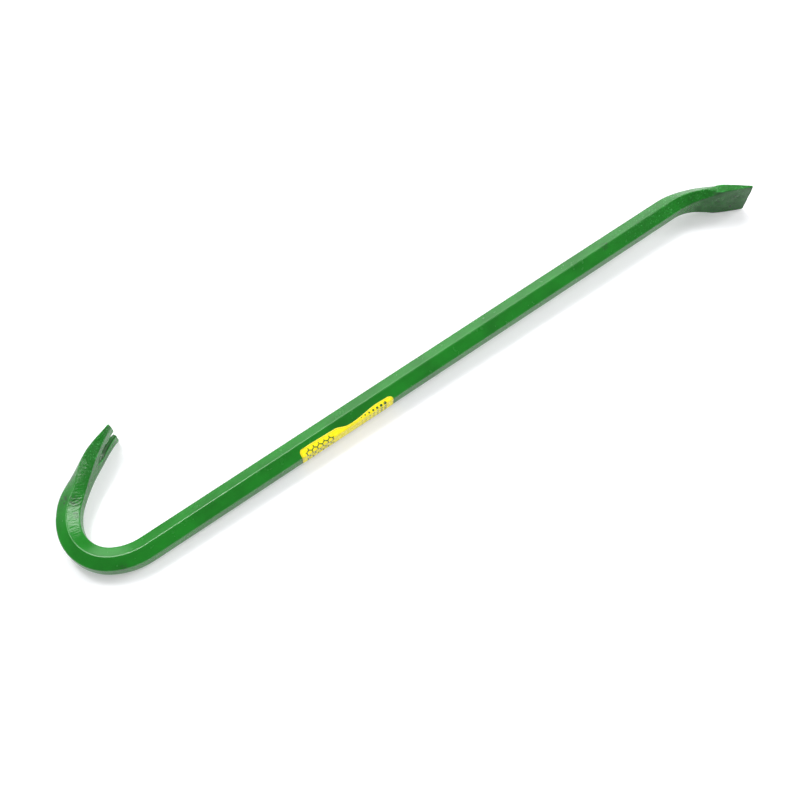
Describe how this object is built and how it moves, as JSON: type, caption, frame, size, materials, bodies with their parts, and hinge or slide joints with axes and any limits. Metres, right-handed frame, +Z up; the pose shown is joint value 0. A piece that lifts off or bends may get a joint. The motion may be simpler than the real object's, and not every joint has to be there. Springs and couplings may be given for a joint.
{
  "type": "crowbar",
  "caption": "Gooseneck crowbar: forged hexagonal steel bar with a hooked, slotted nail claw and a bent flat chisel, painted green, with a plain yellow label.",
  "frame": {"origin": "centre of the bounding box, on the ground under the bar as it lies at rest on its side", "axes": "+X along the shank towards the chisel, +Y towards the side that the hook curls to, +Z up from the ground"},
  "size_m": [0.6074, 0.1266, 0.0352],
  "materials": {
    "painted_steel": "gloss enamel over forged steel",
    "label": "printed vinyl film"
  },
  "bodies": {
    "root": {"forged_bar": "painted_steel", "label": "label"}
  },
  "joints": []
}
